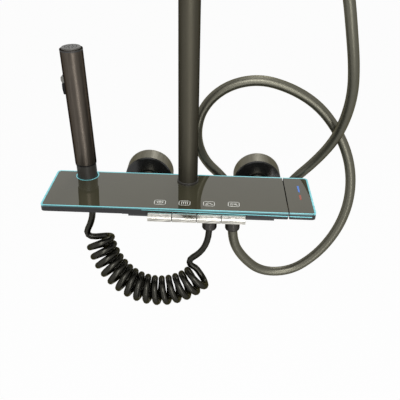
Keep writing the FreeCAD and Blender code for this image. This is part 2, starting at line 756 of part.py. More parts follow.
def outlets():
    """Hose nipples, washers and nuts, and the bath outlet with its aerator."""
    nipples = []
    for name, x, tube in (("coil", "coil_outlet_x", "coil_tube_r"),
                          ("hose", "hose_outlet_x", "hose_r")):
        shoulder = "nipple_spigot + nipple_flange_t"
        end = f"{shoulder} + nipple_thread"
        nipples.append(turned([
            ("nipple_bore_r", "0"), ("nipple_spigot_r", "0"), ("nipple_spigot_r", "nipple_spigot"),
            ("nipple_flange_r", "nipple_spigot"), ("nipple_flange_r", shoulder),
            ("nipple_thread_r", shoulder), ("nipple_thread_r", end), ("nipple_bore_r", end),
        ], (x, "-outlet_y", "nipple_spigot - body_half_h"), "-Z"))
        washers.append(turned([
            ("nipple_bore_r", "0"), ("nipple_thread_r", "0"), ("nipple_thread_r", "washer_t"),
            ("nipple_bore_r", "washer_t"),
        ], (x, "-outlet_y", "-nipple_end"), "-Z"))
        top = "(body_half_h + nipple_flange_t + hose_nut_gap)"
        deep = f"nipple_end + washer_t + slip_gap - {top}"
        bore = "nipple_thread_r + pin_gap"
        node(f"{name}_nut", turned([
            (bore, "0"), ("hose_nut_r", "0"), ("hose_nut_r", "hose_nut_len - hose_nut_edge"),
            ("hose_nut_r - hose_nut_edge * 0.3", "hose_nut_len - hose_nut_edge * 0.3"),
            ("hose_nut_r - hose_nut_edge", "hose_nut_len"), (f"{tube} + slip_gap", "hose_nut_len"),
            (f"{tube} + slip_gap", deep), (bore, deep),
        ], (x, "-outlet_y", f"-{top}"), "-Z"))
    node("hose_nipples", group(*nipples))
    end = "nipple_spigot + bath_len"
    seat = f"{end} - aerator_t"
    node("bath_outlet", turned([
        ("nipple_bore_r", "0"), ("nipple_spigot_r", "0"), ("nipple_spigot_r", "nipple_spigot"),
        ("bath_r", "nipple_spigot"), ("bath_r", end), ("aerator_r + fit_gap", end),
        ("aerator_r + fit_gap", seat), ("nipple_bore_r", seat),
    ], ("bath_outlet_x", "-outlet_y", "nipple_spigot - body_half_h"), "-Z"))
    node("aerator", rod("aerator_r", "aerator_t",
                        ("bath_outlet_x", "-outlet_y", "-body_half_h - bath_len")))


def wand():
    """Spray wand with its trigger, leaning a little in the lit socket of the shelf."""
    at = ("socket_x", "-socket_y", "shelf_top")
    socket = ("socket_x", "-socket_y")
    node("socket_light", turned([
        ("socket_r", "0"), ("light_r", "0"), ("light_r", "guide_h"), ("socket_r", "guide_h"),
    ], socket + ("guide_z",)))
    deep = ("(shelf_top - ferrule_in - ferrule_r * sin(wand_lean) - slip_gap"
            " - socket_floor)")
    rise = f"guide_z - {deep}"
    node("wand_socket", turned([
        ("socket_hole_r", "0"), ("light_r", "0"), ("light_r", rise), ("socket_r", rise),
        ("socket_r", "socket_floor"), ("socket_hole_r", "socket_floor"),
    ], socket + (deep,)))
    top = "(wand_low + wand_len)"
    inner = "(wand_r - wand_wall)"
    node("wand_ferrule", turned([
        ("ferrule_bore_r", "-ferrule_in"), ("ferrule_r", "-ferrule_in"), ("ferrule_r", "wand_low"),
        (f"{inner} - fit_gap", "wand_low"), (f"{inner} - fit_gap", "wand_low + ferrule_up"),
        ("ferrule_bore_r", "wand_low + ferrule_up"),
    ], at, "wand"))
    node("wand_core", turned([
        ("ferrule_bore_r", "0"), ("core_r", "0"), ("core_r", "core_len"),
        ("ferrule_bore_r", "core_len"),
    ], at, "wand"))
    bind(nodes[-1], "Placement.Base.x", "socket_x - (wand_low + ferrule_up) * sin(wand_lean)")
    bind(nodes[-1], "Placement.Base.z",
         "shelf_top + (wand_low + ferrule_up) * cos(wand_lean)")
    tube = turned([
        (inner, "wand_low"), ("wand_r", "wand_low"), ("wand_r", top), (inner, top),
    ], at, "wand")
    slot = padded("XZ_Plane", [
        ("-wand_r - over", "trigger_low - trigger_slot_gap"),
        ("-core_r - over", "trigger_low - trigger_slot_gap"),
        ("-core_r - over", "trigger_low + trigger_len + trigger_slot_gap"),
        ("-wand_r - over", "trigger_low + trigger_len + trigger_slot_gap"),
    ], "2 * (trigger_half + trigger_slot_gap)", at)
    hinge = ("-trigger_pin_x", "trigger_low + trigger_len - trigger_pin_drop")
    pin = wand_rod("trigger_pin_r", "trigger_pin_half", *hinge)
    node("wand_handle", cut(tube, wand_pad(slot, "trigger_half + trigger_slot_gap"), pin))
    node("wand_trigger_pin", wand_rod("trigger_pin_r", "trigger_pin_half", *hinge))
    trigger = padded("XZ_Plane", [
        ("-wand_r - trigger_out / 2", "trigger_low"), ("-trigger_in", "trigger_low"),
        ("-trigger_in", "trigger_low + trigger_len"), ("-wand_r + trigger_out / 4",
                                                       "trigger_low + trigger_len"),
        ("-wand_r - trigger_out", "trigger_low + trigger_len * 0.6"),
        ("-wand_r - trigger_out", "trigger_low + trigger_len * 0.2"),
    ], "2 * trigger_half", at)
    node("wand_trigger", cut(wand_pad(trigger, "trigger_half"),
                             wand_rod("trigger_pin_r + pin_gap", "trigger_pin_half", *hinge)))
    node("wand_face", turned([
        ("0", f"{top} - face_t"), (f"{inner} - fit_gap", f"{top} - face_t"),
        (f"{inner} - fit_gap", f"{top} + face_rise - face_gap"),
        (f"{inner} - fit_gap - face_gap", f"{top} + face_rise"), ("0", f"{top} + face_rise"),
    ], at, "wand"))


def wand_pad(item, half):
    """Centre a pad across the wand and lean it with the wand."""
    place(item, ("socket_x", f"{half} - socket_y", "shelf_top"), "wand")
    return item


def wand_rod(radius, half, u, rise):
    """A rod across the wand, at u from its axis and at a height along it."""
    lean_x = f"socket_x + ({u}) * cos(wand_lean) - ({rise}) * sin(wand_lean)"
    lean_z = f"shelf_top + ({u}) * sin(wand_lean) + ({rise}) * cos(wand_lean)"
    return rod(radius, f"2 * ({half})", (lean_x, f"-socket_y - ({half})", lean_z), "Y")


def hand_shower():
    """Hand shower on the hose's cone, and the holder that clamps to the riser."""
    at = ("riser_x", "-holder_y", "hose_top")
    node("hose_cone", turned([
        ("0", "0"), ("cone_low_r", "0"), ("cone_top_r", "cone_len"), ("0", "cone_len"),
    ], at))
    low = "(hose_top + cone_len)"
    shoulder = "handset_len - handset_dome"
    body = turned([
        ("0", "0"), ("cone_top_r", "0"), ("handset_r", "handset_neck"), ("handset_r", shoulder),
        ("handset_dome_r", "handset_len"), ("0", "handset_len"),
    ], ("riser_x", "-holder_y", low))
    face_z = f"{low} + handset_len - handset_face_top - handset_face_h"
    depth = "(handset_face_t - handset_face_out)"
    flat = box("riser_x - handset_r - over", "-holder_y - handset_r - over", f"{face_z} - flat_end",
               "2 * (handset_r + over)", "flat_cut + over", "handset_face_h + 2 * flat_end")
    pocket = box("riser_x - handset_face_half - fit_gap", "-holder_y - handset_flat - over",
                 f"{face_z} - fit_gap", "2 * (handset_face_half + fit_gap)", f"{depth} + over",
                 "handset_face_h + 2 * fit_gap")
    node("handset_body", cut(body, flat, pocket))
    node("handset_face", box(
        "riser_x - handset_face_half", "-holder_y - handset_flat - handset_face_out", face_z,
        "2 * handset_face_half", "handset_face_t", "handset_face_h"))

    slope = "(cone_top_r - cone_low_r) / cone_len"
    low_r = f"(cone_low_r + cup_low * {slope} + slip_gap)"
    top_r = f"(cone_low_r + (cup_low + cup_len) * {slope} + slip_gap)"
    outer = f"({top_r} + cup_wall)"
    cup_z = "(hose_top + cup_low)"
    cup = rod(outer, "cup_len", ("riser_x", "-holder_y", cup_z))
    clamp_r = "(riser_r + clamp_wall)"
    clamp = rod(clamp_r, "cup_len + 2 * clamp_extra",
                ("riser_x", "-riser_y", f"{cup_z} - clamp_extra"))
    arm = box("riser_x - arm_half", "-holder_y", cup_z, "2 * arm_half",
              "holder_y - riser_y", "cup_len")
    bore = turned([
        ("0", "-over"), (f"{low_r} - over * {slope}", "-over"),
        (f"{top_r} + over * {slope}", "cup_len + over"), ("0", "cup_len + over"),
    ], ("riser_x", "-holder_y", cup_z))
    mouth = box("riser_x - cup_slot / 2", f"-holder_y - {outer} - over", f"{cup_z} - over",
                "cup_slot", f"{outer} + over", "cup_len + 2 * over")
    pipe = rod("riser_r + fit_gap", "cup_len + 4 * clamp_extra",
               ("riser_x", "-riser_y", f"{cup_z} - 2 * clamp_extra"))
    screw_z = f"{cup_z} + cup_len / 2"
    screw_at = ("riser_x + riser_r + fit_gap", "-riser_y", screw_z)
    thread = rod("clamp_screw_r", f"{clamp_r} + over", ("riser_x", "-riser_y", screw_z), "X")
    node("holder", cut(fuse(cup, clamp, arm), bore, mouth, pipe, thread))
    node("holder_screw", rod("clamp_screw_r", "clamp_wall - clamp_screw_sink", screw_at, "X"))


def arc_from(start, direction, end):
    """The arc that leaves a point along a direction and reaches another point."""
    chord = end - start
    along = Vector(chord).normalize()
    sideways = direction - along * direction.dot(along)
    if sideways.Length < STRAIGHT:
        return Part.LineSegment(start, end).toShape()
    angle = math.acos(max(-1.0, min(1.0, direction.dot(along))))
    middle = (start + end) * 0.5 + sideways.normalize() * (chord.Length / 2 * math.tan(angle / 2))
    return Part.Arc(start, middle, end).toShape()


def route_edges(name, points):
    """Straight runs joined by tangent arcs through a list of points."""
    points = [Vector(*point) for point in points]
    edges = []
    radii = []
    last = points[0]
    for before, corner, after in zip(points, points[1:], points[2:]):
        into = (corner - before).normalize()
        out = (after - corner).normalize()
        turn = into.getAngle(out)
        back = RUN_SHARE * min((corner - before).Length, (after - corner).Length)
        radii.append(back / math.tan(turn / 2))
        start = corner - into * back
        end = corner + out * back
        edges.append(Part.LineSegment(last, start).toShape())
        edges.append(arc_from(start, into, end))
        last = end
    edges.append(Part.LineSegment(last, points[-1]).toShape())
    print(name, "radii", [round(radius, 1) for radius in radii])
    return edges


def tube(label, edges, radius):
    """A round tube along joined edges, as one sub-part."""
    wire = Part.Wire(edges)
    first = edges[0]
    direction = first.tangentAt(first.FirstParameter)
    ring = Part.Wire(Part.Circle(first.valueAt(first.FirstParameter), direction, radius).toShape())
    solid = wire.makePipeShell([ring], True, False)
    ideal = math.pi * radius ** 2 * wire.Length
    print(label, "length", round(wire.Length, 1), "volume ratio", round(solid.Volume / ideal, 4))
    item = doc.addObject("Part::Feature", "Tube")
    item.Shape = solid
    item.Placement = Placement()
    return node(label, item)


def helix(turns_per_step):
    """Points and directions of the curly hose, wound about its drooping axis."""
    axis = Part.BSplineCurve()
    poles = [Vector(*pole) for pole in COIL_AXIS]
    degree = 2
    spans = len(poles) - degree
    axis.buildFromPolesMultsKnots(poles, [degree + 1] + [1] * (spans - 1) + [degree + 1],
                                  [index / spans for index in range(spans + 1)], False, degree)
    length = axis.length()
    tilt = math.radians(value("coil_tilt"))
    toward = Vector(0, -math.cos(tilt), math.sin(tilt))
    radius = value("coil_r")

    def point(turn):
        place_on = axis.parameterAtDistance(length * turn / COIL_TURNS, 0.0) if turn > 0 else 0.0
        tangent = axis.tangent(place_on)[0]
        tangent = (tangent - toward * tangent.dot(toward)).normalize()
        out = tangent.cross(toward)
        angle = math.radians(COIL_START) - 2 * math.pi * turn
        return axis.value(place_on) + (out * math.cos(angle) + toward * math.sin(angle)) * radius

    def heading(turn):
        small = 1e-4
        low = max(turn - small, 0.0)
        high = min(turn + small, float(COIL_TURNS))
        return (point(high) - point(low)).normalize()

    count = round(COIL_TURNS / turns_per_step)
    turns = [COIL_TURNS * index / count for index in range(count + 1)]
    return [point(turn) for turn in turns], [heading(turn) for turn in turns]


def biarc(start, leaving, end, arriving):
    """Two tangent arcs from one point and direction to the next."""
    span = end - start
    both = leaving + arriving
    square = 2 * (leaving.dot(arriving) - 1)
    linear = -2 * span.dot(both)
    root = math.sqrt(linear ** 2 - 4 * square * span.dot(span))
    reach = (-linear - root) / (2 * square)
    if reach < 0:
        reach = (-linear + root) / (2 * square)
    joint = (start + leaving * reach + end - arriving * reach) * 0.5
    back = arc_from(end, arriving * -1, joint)
    middle = back.valueAt((back.FirstParameter + back.LastParameter) / 2)
    return [arc_from(start, leaving, joint), Part.Arc(joint, middle, end).toShape()]


def least_gap(points, per_turn, radius):
    """Smallest gap between a wound tube and itself, on points along it."""
    best = float("inf")
    for index, here in enumerate(points):
        for other in points[index + per_turn // 2:]:
            best = min(best, here.distanceToPoint(other))
    return best - 2 * radius


def hoses():
    """Smooth hose, the curly hose and the two plain tails of the curly hose."""
    radius = value("coil_tube_r")
    tube("shower_hose", route_edges("shower_hose", HOSE_ROUTE), value("hose_r"))
    points, headings = helix(0.25)
    first = points[0] - headings[0] * radius
    last = points[-1] + headings[-1] * radius
    edges = [Part.LineSegment(first, points[0]).toShape()]
    for index in range(len(points) - 1):
        edges += biarc(points[index], headings[index], points[index + 1], headings[index + 1])
    edges.append(Part.LineSegment(points[-1], last).toShape())
    tube("coil_hose", edges, radius)
    per_turn = 24
    fine = helix(1 / per_turn)[0]
    print("coil_hose least gap to itself", round(least_gap(fine, per_turn, radius), 2))
    tube("wand_tail", route_edges("wand_tail", WAND_TAIL + [tuple(first)]), radius)
    tube("valve_tail", route_edges("valve_tail", VALVE_TAIL + [tuple(last)]), radius)


valve_body()
inlets()
temperature_block()
shelf()
keys_and_valves()
riser()
outlets()
wand()
hand_shower()
node("sealing_washers", group(*washers))
node("shelf_screws", group(*screws))
hoses()
doc.recompute()

for item in doc.Objects:
    if "Invalid" in item.State or "Error" in item.State:
        raise RuntimeError(f"{item.Name} ({item.Label}) failed: {item.State}")
for item in nodes:
    if item.Shape.isNull() or not item.Shape.isValid():
        raise RuntimeError(f"{item.Label} has no valid shape")
os.makedirs("parts", exist_ok=True)
for item in nodes:
    item.Shape.exportStep(f"parts/{item.Label}.step")
print(len(nodes), "sub-parts")
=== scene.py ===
"""Shower set: camera, hoses, small details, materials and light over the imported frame."""
import math

import bmesh
import bpy
from mathutils import Matrix, Vector


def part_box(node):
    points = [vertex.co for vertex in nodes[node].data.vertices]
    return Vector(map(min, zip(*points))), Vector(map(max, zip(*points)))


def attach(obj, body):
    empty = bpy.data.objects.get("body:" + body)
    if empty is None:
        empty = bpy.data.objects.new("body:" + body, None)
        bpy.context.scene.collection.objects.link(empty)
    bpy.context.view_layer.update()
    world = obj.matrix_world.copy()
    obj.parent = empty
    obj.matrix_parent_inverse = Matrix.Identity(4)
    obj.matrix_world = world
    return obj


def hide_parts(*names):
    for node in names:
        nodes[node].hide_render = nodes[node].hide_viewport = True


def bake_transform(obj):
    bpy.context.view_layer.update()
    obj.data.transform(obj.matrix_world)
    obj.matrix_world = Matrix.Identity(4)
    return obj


MM = 0.001
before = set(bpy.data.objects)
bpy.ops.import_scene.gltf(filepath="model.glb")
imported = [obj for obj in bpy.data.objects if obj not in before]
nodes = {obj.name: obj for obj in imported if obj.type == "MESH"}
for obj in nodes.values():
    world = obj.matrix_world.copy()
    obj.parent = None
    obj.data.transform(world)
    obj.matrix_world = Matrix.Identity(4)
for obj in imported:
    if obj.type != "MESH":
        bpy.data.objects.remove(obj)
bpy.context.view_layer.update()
collection = bpy.context.scene.collection

# Camera: place, lens and sensor in millimetres; pitch down, yaw and roll in degrees
CAMERA_AT = (13.09, -715.95, 376.36)
CAMERA_PITCH = 30.54
CAMERA_YAW = -1.37
CAMERA_ROLL = -1.27
CAMERA_LENS = 51.13
CAMERA_SENSOR = 36.0

# Hoses in millimetres, with angles in degrees.
HOSE_RADIUS = 6.5
HOSE_RESOLUTION = 8
HOSE_SIDES = 20
HOSE_ROUTE = [
    (41.9, -77, -33), (41.9, -77, -60), (57, -74, -91), (86, -69, -120), (128, -65, -120),
    (160, -63, -94), (182, -61, -60), (194, -60, -21), (195, -59, 20), (186, -55, 59),
    (167, -48, 94), (140, -46, 124), (105, -45, 144), (65, -44, 154), (25, -43, 143),
    (-3, -40, 113), (-11, -38, 73), (1, -30, 34), (28, -26.5, 7), (55, -43.5, -23),
    (97, -44.5, -20), (122, -35.5, 12), (146, -42, 42), (164, -58, 80), (170, -75, 117),
    (170, -90, 155), (163, -103, 192), (153, -111, 231), (143, -115, 270), (129, -117, 307),
    (109, -119, 343), (87, -119, 377), (64, -119, 410), (41, -118, 443), (21, -118, 478),
    (3, -117, 514), (-10, -116, 553), (-18.5, -116, 597), (-18.5, -116, 621),
]
COIL_TUBE_RADIUS = 4.4
COIL_RESOLUTION = 2
COIL_SIDES = 16
COIL_RADIUS = 16.0
COIL_TILT = 25.0
COIL_TURNS = 15
COIL_STEPS = 24
COIL_START = 270.0
WAND_TAIL = [
    (-149.34, -64.5, 6), (-148.75, -64.5, -10), (-147.7, -64.6, -26.2), (-148.8, -64.9, -40),
    (-152.9, -65.4, -53), (-159, -66.48, -64.64), (-153.68, -66.85, -72.39),
]
VALVE_TAIL = [
    (11.2, -77, -33), (11.2, -77, -49.5), (9, -77.3, -65.5), (3.2, -77.9, -79.3),
    (-5.6, -78.6, -88.8), (-14.94, -80.05, -94.4), (-14.5, -81.9, -103), (-6.12, -82.64, -106.2),
]
COIL_AXIS = [
    (-137.4, -80.5, -63.8), (-131.5, -90.7, -85.6), (-100.5, -105.5, -117.5),
    (-58.8, -111.2, -129.6), (-16.6, -106.9, -120.5), (-0.4, -100.3, -106.2),
]
AXIS_RESOLUTION = 24

# Shelf, keys and wand, in millimetres and degrees
SHELF_TOP = 24.0
KEY_XS = (-48.0, -18.8, 10.4, 39.6)
KEY_WIDTH = 28.4
WAND_FOOT = (-150.0, -64.5, SHELF_TOP)
WAND_LEAN = 2.1
WAND_RADIUS = 13.55


def mm(point):
    """A point given in millimetres, in metres."""
    return Vector(point) * MM


# Materials: texture sizes and relief in metres
NOISE_DETAIL = 4.0
NOISE_LOW = 0.3
NOISE_HIGH = 0.7
RELIEF_DEPTH = 0.0003
STREAK_SIZE = 0.0011
SMOOTH_ANGLE = 32


def texture_place(tree, size, stretch, slant=0.0):
    """Object coordinates slanted about Y, then divided by a feature size along each axis."""
    coord = tree.nodes.new("ShaderNodeTexCoord")
    turn = tree.nodes.new("ShaderNodeMapping")
    turn.inputs["Rotation"].default_value = (0.0, math.radians(slant), 0.0)
    place = tree.nodes.new("ShaderNodeMapping")
    place.inputs["Scale"].default_value = [1.0 / (size * s) for s in stretch]
    tree.links.new(coord.outputs["Object"], turn.inputs["Vector"])
    tree.links.new(turn.outputs["Vector"], place.inputs["Vector"])
    return place.outputs["Vector"]


def noise(tree, vector):
    """A noise whose features are as large as the place's own unit."""
    texture = tree.nodes.new("ShaderNodeTexNoise")
    texture.inputs["Scale"].default_value = 1.0
    texture.inputs["Detail"].default_value = NOISE_DETAIL
    tree.links.new(vector, texture.inputs["Vector"])
    return texture.outputs["Fac"]


def spread(tree, factor, low, high):
    """A number between two limits, following a texture."""
    span = tree.nodes.new("ShaderNodeMapRange")
    span.inputs["From Min"].default_value = NOISE_LOW
    span.inputs["From Max"].default_value = NOISE_HIGH
    span.inputs["To Min"].default_value = low
    span.inputs["To Max"].default_value = high
    tree.links.new(factor, span.inputs["Value"])
    return span.outputs["Result"]


def tint(tree, factor, low, high):
    """A colour between two others, following a texture."""
    mix = tree.nodes.new("ShaderNodeMix")
    mix.data_type = "RGBA"
    mix.inputs["A"].default_value = (*low, 1.0)
    mix.inputs["B"].default_value = (*high, 1.0)
    tree.links.new(factor, mix.inputs["Factor"])
    return mix.outputs["Result"]


def surface(name, colour, rough, metallic=0.0, size=0.01, stretch=(1, 1, 1), mottle=0.12,
            rough_span=0.05, bump=0.05, slant=0.0, **fixed):
    """A surface whose colour, roughness and relief follow one texture of a real size."""
    material = bpy.data.materials.new(name)
    material.use_nodes = True
    tree = material.node_tree
    shader = tree.nodes["Principled BSDF"]
    shader.inputs["Metallic"].default_value = metallic
    for socket, number in fixed.items():
        shader.inputs[socket.replace("_", " ")].default_value = number
    factor = noise(tree, texture_place(tree, size, stretch, slant))
    low = [c * (1 - mottle) for c in colour]
    high = [min(1.0, c * (1 + mottle)) for c in colour]
    tree.links.new(tint(tree, spread(tree, factor, 0, 1), low, high), shader.inputs["Base Color"])
    tree.links.new(spread(tree, factor, max(0.0, rough - rough_span), rough + rough_span),
                   shader.inputs["Roughness"])
    relief = tree.nodes.new("ShaderNodeBump")
    relief.inputs["Strength"].default_value = bump
    relief.inputs["Distance"].default_value = RELIEF_DEPTH
    tree.links.new(factor, relief.inputs["Height"])
    tree.links.new(relief.outputs["Normal"], shader.inputs["Normal"])
    return material


def metal(name, colour, rough, edge, size=0.0012, stretch=(1, 1, 25), mottle=0.14):
    """Satin plated metal that darkens where it turns away, to a share of its own colour."""
    rim = [edge * c / max(colour) for c in colour]
    return surface(name, colour, rough, metallic=1.0, size=size, stretch=stretch, mottle=mottle,
                   bump=0.06, Specular_Tint=(*rim, 1.0))


def glow(name, low, high, base, strength, stretch):
    """A frosted light guide with streaks along its length."""
    material = surface(name, base, 0.3, size=0.03, mottle=0.06, bump=0.02)
    tree = material.node_tree
    shader = tree.nodes["Principled BSDF"]
    factor = noise(tree, texture_place(tree, STREAK_SIZE, stretch))
    tree.links.new(tint(tree, spread(tree, factor, 0, 1), low, high),
                   shader.inputs["Emission Color"])
    shader.inputs["Emission Strength"].default_value = strength
    return material


GUNMETAL = metal("gunmetal", (0.066, 0.061, 0.046), 0.55, 0.15, mottle=0.06)
WAND_METAL = metal("wand_metal", (0.075, 0.064, 0.053), 0.36, 0.12)
FERRULE_COAT = surface("ferrule_coat", (0.021, 0.019, 0.0155), 0.45, size=0.002, mottle=0.1,
                       bump=0.03)
FLANGE_METAL = metal("flange_metal", (0.2, 0.192, 0.163), 0.34, 0.3, stretch=(1, 20, 1))
# Near-black front faces of the wall flanges: painted shade and painted dark reflection on the
# flange metal
FLANGE_FRONT_PAINTED_SHADE = surface("flange_front_painted_shade", (0.008, 0.008, 0.0075), 0.22, size=0.003, mottle=0.15,
                       bump=0.02)
NUT_METAL = metal("nut_metal", (0.055, 0.052, 0.048), 0.36, 0.3, stretch=(6, 6, 1))
HOSE_SHEATH = surface("hose_sheath", (0.115, 0.111, 0.087), 0.4, metallic=1.0, size=0.004,
                      mottle=0.03, rough_span=0.01, bump=0.01,
                      Specular_Tint=(0.5, 0.48, 0.38, 1.0))
BRASS = metal("brass", (0.5, 0.36, 0.14), 0.35, 0.8, size=0.004, stretch=(1, 1, 1))
STEEL = metal("steel", (0.5, 0.5, 0.5), 0.3, 0.9, size=0.0008)
COIL_SHEATH = surface("coil_sheath", (0.034, 0.0332, 0.0282), 0.32, metallic=1.0, size=0.01,
                      mottle=0.06, rough_span=0.01, bump=0.0,
                      Specular_Tint=(0.45, 0.44, 0.38, 1.0))
SHELF_GLASS = surface("shelf_glass", (0.05, 0.047, 0.029), 0.03, size=0.05, mottle=0.05,
                      rough_span=0.01, bump=0.0, IOR=1.6, Specular_Tint=(1.0, 0.97, 0.88, 1.0))
CHARCOAL = surface("charcoal", (0.016, 0.016, 0.0165), 0.4, size=0.0008, mottle=0.15, bump=0.08,
                   Specular_IOR_Level=0.28)
DARK_COAT = surface("dark_coat", (0.022, 0.022, 0.022), 0.45, size=0.002, mottle=0.15, bump=0.08)
TRIGGER_BLACK = surface("trigger_black", (0.004, 0.004, 0.004), 0.5, size=0.001, mottle=0.2,
                        bump=0.05, Specular_IOR_Level=0.15)
RUBBER = surface("rubber", (0.016, 0.016, 0.016), 0.6, size=0.001, mottle=0.2, bump=0.1)
GREY_PLASTIC = surface("grey_plastic", (0.075, 0.071, 0.064), 0.45, size=0.0008, bump=0.08)
BUTTON_GREY = surface("button_grey", (0.12, 0.118, 0.105), 0.4, size=0.0008, bump=0.06)
PRINT_WHITE = surface("print_white", (0.7, 0.7, 0.65), 0.5, size=0.001, mottle=0.06, bump=0.02)
PRINT_BLUE = surface("print_blue", (0.03, 0.15, 0.55), 0.5, size=0.001, mottle=0.08, bump=0.02)
PRINT_RED = surface("print_red", (0.27, 0.035, 0.01), 0.5, size=0.001, mottle=0.08, bump=0.02)
# Key tops and fronts are one metal; the fronts are painted darker and streaked, as painted shade
# and painted reflections
KEY_TOP_METAL = surface("key_top_metal", (0.8, 0.778, 0.725), 0.2, metallic=1.0, size=0.002,
                        stretch=(12, 1, 1), mottle=0.04, rough_span=0.04, bump=0.03)
KEY_FRONT_PAINTED_SHADE = surface("key_front_painted_shade", (0.52, 0.503, 0.455), 0.15, metallic=1.0,
                          size=0.0011, stretch=(14, 1, 1), mottle=0.5, rough_span=0.04,
                          bump=0.06, slant=14.0)
LIGHT_GUIDE = glow("light_guide", (0.05, 0.3, 0.34), (0.3, 0.72, 0.76), (0.1, 0.34, 0.37), 0.55,
                   (60, 4, 1))
GUIDE_FRONT = glow("guide_front", (0.002, 0.02, 0.024), (0.3, 0.72, 0.76), (0.006, 0.02, 0.022),
                   0.36, (130, 1, 1.9))
LED = glow("led", (0.3, 0.7, 0.75), (0.5, 0.9, 0.95), (0.4, 0.6, 0.62), 1.0, (8, 8, 8))


def dress(material, *names):
    """Give CAD nodes a material and smooth shading between gentle faces."""
    for name in names:
        mesh = nodes[name].data
        mesh.materials.clear()
        mesh.materials.append(material)
        mesh.shade_smooth()
        mesh.set_sharp_from_angle(angle=math.radians(SMOOTH_ANGLE))


dress(BRASS, "cartridge_nut", "knob_spindle", "riser_spigot")
dress(DARK_COAT, "valve_body", "valve_glands")
dress(STEEL, "knob_screw", "key_pin", "valve_stem_1", "valve_stem_2", "valve_stem_3",
      "valve_stem_4", "wand_trigger_pin", "holder_screw", "shelf_screws")
dress(RUBBER, "riser_orings", "sealing_washers")
dress(GREY_PLASTIC, "mixing_cartridge", "aerator", "wand_core", "handset_face", "wand_face")
dress(GUNMETAL, "riser_pipe", "riser_coupling", "knob_hub", "bath_outlet", "hose_cone",
      "handset_body", "holder", "inlet_unions")
dress(WAND_METAL, "wand_handle")
dress(FERRULE_COAT, "wand_ferrule", "riser_base_ring")
dress(FLANGE_METAL, "wall_flange_hot", "wall_flange_cold", "inlet_nut_hot", "inlet_nut_cold")
dress(NUT_METAL, "coil_nut", "hose_nut", "hose_nipples")
dress(CHARCOAL, "shelf_tray", "knob_tray", "key_panel", "wand_socket")
dress(SHELF_GLASS, "top_glass", "knob_glass")
dress(LIGHT_GUIDE, "light_guide", "knob_light_guide", "socket_light")
dress(LED, "led_strip", "knob_led_strip")

# A face looks forward where its normal's Y is below the limit
FLANGE_FRONT_LIMIT = -0.7
GUIDE_FRONT_LIMIT = -0.9


def front_shade_and_glow(material, limit, *names):
    """Give the faces of CAD nodes that look forward a material of their own: painted shade on the
    flanges, a glow of their own on the light guides.
    """
    for name in names:
        mesh = nodes[name].data
        mesh.materials.append(material)
        for face in mesh.polygons:
            if face.normal.y < limit:
                face.material_index = 1


# The flange fronts get painted shade; the light guides' fronts get a glow of their own
front_shade_and_glow(FLANGE_FRONT_PAINTED_SHADE, FLANGE_FRONT_LIMIT, "wall_flange_hot", "wall_flange_cold")
front_shade_and_glow(GUIDE_FRONT, GUIDE_FRONT_LIMIT, "light_guide", "knob_light_guide")


def make_camera():
    """The photograph's camera."""
    pitch, yaw, roll = (math.radians(a) for a in (CAMERA_PITCH, CAMERA_YAW, CAMERA_ROLL))
    ahead = Vector((math.sin(yaw) * math.cos(pitch), math.cos(yaw) * math.cos(pitch),
                    -math.sin(pitch)))
    level = Vector((math.cos(yaw), -math.sin(yaw), 0))
    down = ahead.cross(level)
    right = level * math.cos(roll) + down * math.sin(roll)
    below = down * math.cos(roll) - level * math.sin(roll)
    data = bpy.data.cameras.new("camera")
    data.lens = CAMERA_LENS
    data.sensor_width = CAMERA_SENSOR
    camera = bpy.data.objects.new("camera", data)
    turn = Matrix((right, -below, -ahead)).transposed()
    camera.matrix_world = Matrix.Translation(mm(CAMERA_AT)) @ turn.to_4x4()
    collection.objects.link(camera)
    bpy.context.scene.camera = camera


make_camera()


# Hoses

def spline_curve(name, points, resolution):
    """An open smooth curve with the given control points."""
    data = bpy.data.curves.new(name, "CURVE")
    data.dimensions = "3D"
    data.resolution_u = resolution
    spline = data.splines.new("NURBS")
    spline.points.add(len(points) - 1)
    for target, point in zip(spline.points, points):
        target.co = (*point, 1.0)
    spline.order_u = 3
    spline.use_endpoint_u = True
    return bpy.data.objects.new(name, data)


def line_of(curve):
    """Points along a curve that has no bevel."""
    mesh = bpy.data.meshes.new_from_object(curve)
    return [vertex.co.copy() for vertex in mesh.vertices]


def hose(name, points, radius, resolution, sides):
    """A round tube along the curve of some control points, and the points that it follows."""
    curve = spline_curve(name + "_line", points, resolution)
    path = line_of(curve)
    curve.data.bevel_depth = radius
    curve.data.bevel_resolution = sides // 4 - 1
    curve.data.use_fill_caps = True
    mesh = bpy.data.meshes.new_from_object(curve)
    mesh.shade_smooth()
    piece = bpy.data.objects.new(name, mesh)
    collection.objects.link(piece)
    return piece, path


def coil_points():
    """Control points of the curls, wound about the coil's own drooping line."""
    axis = line_of(spline_curve("coil_axis", [mm(p) for p in COIL_AXIS], AXIS_RESOLUTION))
    lengths = [0.0]
    for before, after in zip(axis, axis[1:]):
        lengths.append(lengths[-1] + (after - before).length)
    tilt = math.radians(COIL_TILT)
    toward = Vector((0, -math.cos(tilt), math.sin(tilt)))
    count = COIL_TURNS * COIL_STEPS
    radius = COIL_RADIUS * MM / math.cos(math.pi / COIL_STEPS)
    points = []
    index = 0
    for step in range(count + 1):
        distance = lengths[-1] * step / count
        while index < len(axis) - 2 and lengths[index + 1] < distance:
            index += 1
        share = (distance - lengths[index]) / (lengths[index + 1] - lengths[index])
        centre = axis[index].lerp(axis[index + 1], share)
        tangent = axis[index + 1] - axis[index]
        tangent = (tangent - toward * tangent.dot(toward)).normalized()
        out = tangent.cross(toward)
        angle = math.radians(COIL_START) - 2 * math.pi * step / COIL_STEPS
        points.append(centre + (out * math.cos(angle) + toward * math.sin(angle)) * radius)
    return points


shower_hose, hose_path = hose("smooth_hose", [mm(p) for p in HOSE_ROUTE], HOSE_RADIUS * MM,
                              HOSE_RESOLUTION, HOSE_SIDES)
shower_hose.data.materials.append(HOSE_SHEATH)
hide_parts("shower_hose")
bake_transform(shower_hose)

